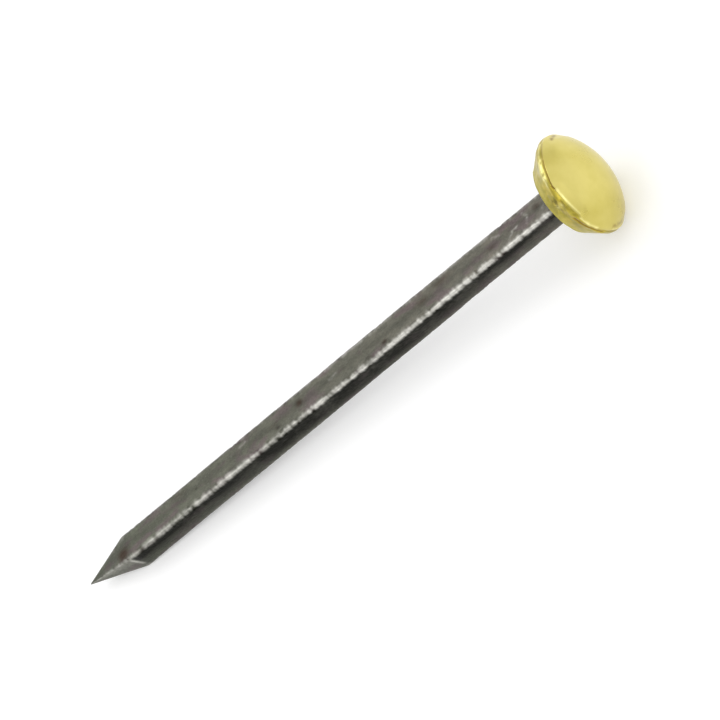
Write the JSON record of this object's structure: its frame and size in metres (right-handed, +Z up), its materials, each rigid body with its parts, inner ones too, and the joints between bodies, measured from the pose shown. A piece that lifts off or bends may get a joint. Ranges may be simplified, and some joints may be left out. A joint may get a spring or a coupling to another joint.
{
  "type": "picture pin",
  "caption": "Brass-headed picture pin: a sharp square steel nail whose domed cap of folded sheet brass shows on the wall.",
  "frame": {"origin": "centre of the box that the lying pin fills, on the surface that it lies on", "axes": "+X along the pin from its tip to its head, +Z up from that surface, +Y across the pin"},
  "size_m": [0.03, 0.0048, 0.0049],
  "materials": {
    "steel": "dull drawn wire, slightly darkened",
    "brass": "smooth satin, bare pale brass"
  },
  "bodies": {
    "root": {"steel_pin": "steel", "brass_cap": "brass"}
  },
  "joints": []
}
